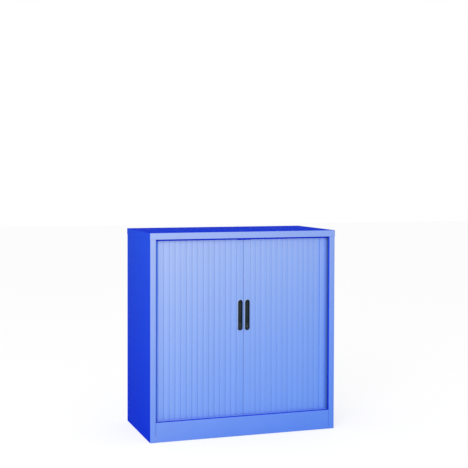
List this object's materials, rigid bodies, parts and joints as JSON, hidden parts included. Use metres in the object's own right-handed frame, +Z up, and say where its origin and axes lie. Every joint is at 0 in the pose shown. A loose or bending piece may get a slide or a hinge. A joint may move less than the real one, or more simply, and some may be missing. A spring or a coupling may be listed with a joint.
{
  "type": "tambour door cabinet",
  "caption": "Steel storage cabinet whose two side-opening shutters of interlocking upright slats slide round the front corners, with flush handles, a lock and shelves.",
  "frame": {"origin": "middle of the footprint at floor level", "axes": "+Z up, front facing -Y, +X to the right seen from the front"},
  "size_m": [1, 0.47, 1.04],
  "materials": {
    "front_paint": "fine textured powder coat, satin",
    "carcass_paint": "fine textured powder coat, satin",
    "slat_plastic": "satin extruded plastic",
    "track_plastic": "satin extruded plastic",
    "black_moulding": "fine grained moulding",
    "zinc_plated_steel": "dull zinc plate",
    "bright_steel": "satin nickel",
    "foot_plastic": "moulded"
  },
  "bodies": {
    "carcass": {"top_cap": "front_paint", "top_panel": "carcass_paint", "left_side_panel": "carcass_paint", "right_side_panel": "carcass_paint", "back_panel": "carcass_paint", "floor_panel": "carcass_paint", "plinth": "front_paint", "left_base_rail": "zinc_plated_steel", "right_base_rail": "zinc_plated_steel", "bottom_track": "track_plastic", "top_track": "track_plastic", "left_liner": "carcass_paint", "right_liner": "carcass_paint", "lower_shelf": "carcass_paint", "upper_shelf": "carcass_paint"},
    "left_lead": {"left_lead_rail": "front_paint", "left_handle": "black_moulding", "left_bottom_guide_shoe": "track_plastic", "left_top_guide_shoe": "track_plastic", "lock_keeper": "zinc_plated_steel"},
    "right_lead": {"right_lead_rail": "front_paint", "right_handle": "black_moulding", "right_bottom_guide_shoe": "track_plastic", "right_top_guide_shoe": "track_plastic"},
    "lock": {"lock_barrel": "bright_steel", "lock_cam": "zinc_plated_steel"},
    "front_left_foot": {"front_left_levelling_foot": "foot_plastic"},
    "front_right_foot": {"front_right_levelling_foot": "foot_plastic"},
    "rear_left_foot": {"rear_left_levelling_foot": "foot_plastic"},
    "rear_right_foot": {"rear_right_levelling_foot": "foot_plastic"},
    "left_slat_01_body": {"left_slat_01": "slat_plastic"},
    "left_slat_02_body": {"left_slat_02": "slat_plastic"},
    "left_slat_03_body": {"left_slat_03": "slat_plastic"},
    "left_slat_04_body": {"left_slat_04": "slat_plastic"},
    "left_slat_05_body": {"left_slat_05": "slat_plastic"},
    "left_slat_06_body": {"left_slat_06": "slat_plastic"},
    "left_slat_07_body": {"left_slat_07": "slat_plastic"},
    "left_slat_08_body": {"left_slat_08": "slat_plastic"},
    "left_slat_09_body": {"left_slat_09": "slat_plastic"},
    "left_slat_10_body": {"left_slat_10": "slat_plastic"},
    "left_slat_11_body": {"left_slat_11": "slat_plastic"},
    "left_slat_12_body": {"left_slat_12": "slat_plastic"},
    "left_slat_13_body": {"left_slat_13": "slat_plastic"},
    "left_slat_14_body": {"left_slat_14": "slat_plastic"},
    "left_slat_15_body": {"left_slat_15": "slat_plastic"},
    "right_slat_01_body": {"right_slat_01": "slat_plastic"},
    "right_slat_02_body": {"right_slat_02": "slat_plastic"},
    "right_slat_03_body": {"right_slat_03": "slat_plastic"},
    "right_slat_04_body": {"right_slat_04": "slat_plastic"},
    "right_slat_05_body": {"right_slat_05": "slat_plastic"},
    "right_slat_06_body": {"right_slat_06": "slat_plastic"},
    "right_slat_07_body": {"right_slat_07": "slat_plastic"},
    "right_slat_08_body": {"right_slat_08": "slat_plastic"},
    "right_slat_09_body": {"right_slat_09": "slat_plastic"},
    "right_slat_10_body": {"right_slat_10": "slat_plastic"},
    "right_slat_11_body": {"right_slat_11": "slat_plastic"},
    "right_slat_12_body": {"right_slat_12": "slat_plastic"},
    "right_slat_13_body": {"right_slat_13": "slat_plastic"},
    "right_slat_14_body": {"right_slat_14": "slat_plastic"},
    "right_slat_15_body": {"right_slat_15": "slat_plastic"}
  },
  "joints": [
    {"name": "left_shutter_slide", "type": "slide", "parent": "carcass", "child": "left_lead", "axis": [-1, 0, 0], "range_m": [0, 0.412], "deforming": ["left_slat_01", "left_slat_02", "left_slat_03", "left_slat_04", "left_slat_05", "left_slat_06", "left_slat_07", "left_slat_08", "left_slat_09", "left_slat_10", "left_slat_11", "left_slat_12", "left_slat_13", "left_slat_14", "left_slat_15"]},
    {"name": "right_shutter_slide", "type": "slide", "parent": "carcass", "child": "right_lead", "axis": [1, 0, 0], "range_m": [0, 0.412], "deforming": ["right_slat_01", "right_slat_02", "right_slat_03", "right_slat_04", "right_slat_05", "right_slat_06", "right_slat_07", "right_slat_08", "right_slat_09", "right_slat_10", "right_slat_11", "right_slat_12", "right_slat_13", "right_slat_14", "right_slat_15"]},
    {"name": "lock_turn", "type": "hinge", "parent": "right_lead", "child": "lock", "pos_m": [0.019, -0.213, 0.556], "axis": [0, 1, 0], "range_deg": [0, 90]},
    {"name": "front_left_foot_screw", "type": "slide", "parent": "carcass", "child": "front_left_foot", "axis": [0, 0, -1], "range_m": [0, 0.01]},
    {"name": "front_right_foot_screw", "type": "slide", "parent": "carcass", "child": "front_right_foot", "axis": [0, 0, -1], "range_m": [0, 0.01]},
    {"name": "rear_left_foot_screw", "type": "slide", "parent": "carcass", "child": "rear_left_foot", "axis": [0, 0, -1], "range_m": [0, 0.01]},
    {"name": "rear_right_foot_screw", "type": "slide", "parent": "carcass", "child": "rear_right_foot", "axis": [0, 0, -1], "range_m": [0, 0.01]},
    {"name": "left_slat_01_slide", "type": "slide", "parent": "carcass", "child": "left_slat_01_body", "axis": [-1, 0, 0], "range_m": [0, 0.4121]},
    {"name": "left_slat_02_slide", "type": "slide", "parent": "carcass", "child": "left_slat_02_body", "axis": [-1, 0, 0], "range_m": [0, 0.3835]},
    {"name": "left_slat_03_slide", "type": "slide", "parent": "carcass", "child": "left_slat_03_body", "axis": [-1, 0, 0], "range_m": [0, 0.3549]},
    {"name": "left_slat_04_slide", "type": "slide", "parent": "carcass", "child": "left_slat_04_body", "axis": [-1, 0, 0], "range_m": [0, 0.3263]},
    {"name": "left_slat_05_slide", "type": "slide", "parent": "carcass", "child": "left_slat_05_body", "axis": [-1, 0, 0], "range_m": [0, 0.2977]},
    {"name": "left_slat_06_slide", "type": "slide", "parent": "carcass", "child": "left_slat_06_body", "axis": [-1, 0, 0], "range_m": [0, 0.2691]},
    {"name": "left_slat_07_slide", "type": "slide", "parent": "carcass", "child": "left_slat_07_body", "axis": [-1, 0, 0], "range_m": [0, 0.2405]},
    {"name": "left_slat_08_slide", "type": "slide", "parent": "carcass", "child": "left_slat_08_body", "axis": [-1, 0, 0], "range_m": [0, 0.2118]},
    {"name": "left_slat_09_slide", "type": "slide", "parent": "carcass", "child": "left_slat_09_body", "axis": [-1, 0, 0], "range_m": [0, 0.1832]},
    {"name": "left_slat_10_slide", "type": "slide", "parent": "carcass", "child": "left_slat_10_body", "axis": [-1, 0, 0], "range_m": [0, 0.1546]},
    {"name": "left_slat_11_slide", "type": "slide", "parent": "carcass", "child": "left_slat_11_body", "axis": [-1, 0, 0], "range_m": [0, 0.126]},
    {"name": "left_slat_12_slide", "type": "slide", "parent": "carcass", "child": "left_slat_12_body", "axis": [-1, 0, 0], "range_m": [0, 0.0974]},
    {"name": "left_slat_13_slide", "type": "slide", "parent": "carcass", "child": "left_slat_13_body", "axis": [-1, 0, 0], "range_m": [0, 0.0688]},
    {"name": "left_slat_14_slide", "type": "slide", "parent": "carcass", "child": "left_slat_14_body", "axis": [-1, 0, 0], "range_m": [0, 0.0402]},
    {"name": "left_slat_15_turn", "type": "hinge", "parent": "carcass", "child": "left_slat_15_body", "pos_m": [-0.452, -0.1725, 0], "axis": [0, 0, -1], "range_deg": [0, 40.1]},
    {"name": "right_slat_01_slide", "type": "slide", "parent": "carcass", "child": "right_slat_01_body", "axis": [1, 0, 0], "range_m": [0, 0.4121]},
    {"name": "right_slat_02_slide", "type": "slide", "parent": "carcass", "child": "right_slat_02_body", "axis": [1, 0, 0], "range_m": [0, 0.3835]},
    {"name": "right_slat_03_slide", "type": "slide", "parent": "carcass", "child": "right_slat_03_body", "axis": [1, 0, 0], "range_m": [0, 0.3549]},
    {"name": "right_slat_04_slide", "type": "slide", "parent": "carcass", "child": "right_slat_04_body", "axis": [1, 0, 0], "range_m": [0, 0.3263]},
    {"name": "right_slat_05_slide", "type": "slide", "parent": "carcass", "child": "right_slat_05_body", "axis": [1, 0, 0], "range_m": [0, 0.2977]},
    {"name": "right_slat_06_slide", "type": "slide", "parent": "carcass", "child": "right_slat_06_body", "axis": [1, 0, 0], "range_m": [0, 0.2691]},
    {"name": "right_slat_07_slide", "type": "slide", "parent": "carcass", "child": "right_slat_07_body", "axis": [1, 0, 0], "range_m": [0, 0.2405]},
    {"name": "right_slat_08_slide", "type": "slide", "parent": "carcass", "child": "right_slat_08_body", "axis": [1, 0, 0], "range_m": [0, 0.2118]},
    {"name": "right_slat_09_slide", "type": "slide", "parent": "carcass", "child": "right_slat_09_body", "axis": [1, 0, 0], "range_m": [0, 0.1832]},
    {"name": "right_slat_10_slide", "type": "slide", "parent": "carcass", "child": "right_slat_10_body", "axis": [1, 0, 0], "range_m": [0, 0.1546]},
    {"name": "right_slat_11_slide", "type": "slide", "parent": "carcass", "child": "right_slat_11_body", "axis": [1, 0, 0], "range_m": [0, 0.126]},
    {"name": "right_slat_12_slide", "type": "slide", "parent": "carcass", "child": "right_slat_12_body", "axis": [1, 0, 0], "range_m": [0, 0.0974]},
    {"name": "right_slat_13_slide", "type": "slide", "parent": "carcass", "child": "right_slat_13_body", "axis": [1, 0, 0], "range_m": [0, 0.0688]},
    {"name": "right_slat_14_slide", "type": "slide", "parent": "carcass", "child": "right_slat_14_body", "axis": [1, 0, 0], "range_m": [0, 0.0402]},
    {"name": "right_slat_15_turn", "type": "hinge", "parent": "carcass", "child": "right_slat_15_body", "pos_m": [0.452, -0.1725, 0], "axis": [0, 0, 1], "range_deg": [0, 40.1]}
  ],
  "couplings": [
    {"joint": "left_slat_01_slide", "follows": "left_shutter_slide", "ratio": 1},
    {"joint": "left_slat_02_slide", "follows": "left_shutter_slide", "ratio": 0.93056},
    {"joint": "left_slat_03_slide", "follows": "left_shutter_slide", "ratio": 0.86113},
    {"joint": "left_slat_04_slide", "follows": "left_shutter_slide", "ratio": 0.79169},
    {"joint": "left_slat_05_slide", "follows": "left_shutter_slide", "ratio": 0.72226},
    {"joint": "left_slat_06_slide", "follows": "left_shutter_slide", "ratio": 0.65282},
    {"joint": "left_slat_07_slide", "follows": "left_shutter_slide", "ratio": 0.58339},
    {"joint": "left_slat_08_slide", "follows": "left_shutter_slide", "ratio": 0.51395},
    {"joint": "left_slat_09_slide", "follows": "left_shutter_slide", "ratio": 0.44452},
    {"joint": "left_slat_10_slide", "follows": "left_shutter_slide", "ratio": 0.37508},
    {"joint": "left_slat_11_slide", "follows": "left_shutter_slide", "ratio": 0.30565},
    {"joint": "left_slat_12_slide", "follows": "left_shutter_slide", "ratio": 0.23621},
    {"joint": "left_slat_13_slide", "follows": "left_shutter_slide", "ratio": 0.16678},
    {"joint": "left_slat_14_slide", "follows": "left_shutter_slide", "ratio": 0.09734},
    {"joint": "left_slat_15_turn", "follows": "left_shutter_slide", "rad_per_m": 1.6945},
    {"joint": "right_slat_01_slide", "follows": "right_shutter_slide", "ratio": 1},
    {"joint": "right_slat_02_slide", "follows": "right_shutter_slide", "ratio": 0.93056},
    {"joint": "right_slat_03_slide", "follows": "right_shutter_slide", "ratio": 0.86113},
    {"joint": "right_slat_04_slide", "follows": "right_shutter_slide", "ratio": 0.79169},
    {"joint": "right_slat_05_slide", "follows": "right_shutter_slide", "ratio": 0.72226},
    {"joint": "right_slat_06_slide", "follows": "right_shutter_slide", "ratio": 0.65282},
    {"joint": "right_slat_07_slide", "follows": "right_shutter_slide", "ratio": 0.58339},
    {"joint": "right_slat_08_slide", "follows": "right_shutter_slide", "ratio": 0.51395},
    {"joint": "right_slat_09_slide", "follows": "right_shutter_slide", "ratio": 0.44452},
    {"joint": "right_slat_10_slide", "follows": "right_shutter_slide", "ratio": 0.37508},
    {"joint": "right_slat_11_slide", "follows": "right_shutter_slide", "ratio": 0.30565},
    {"joint": "right_slat_12_slide", "follows": "right_shutter_slide", "ratio": 0.23621},
    {"joint": "right_slat_13_slide", "follows": "right_shutter_slide", "ratio": 0.16678},
    {"joint": "right_slat_14_slide", "follows": "right_shutter_slide", "ratio": 0.09734},
    {"joint": "right_slat_15_turn", "follows": "right_shutter_slide", "rad_per_m": 1.6945}
  ]
}
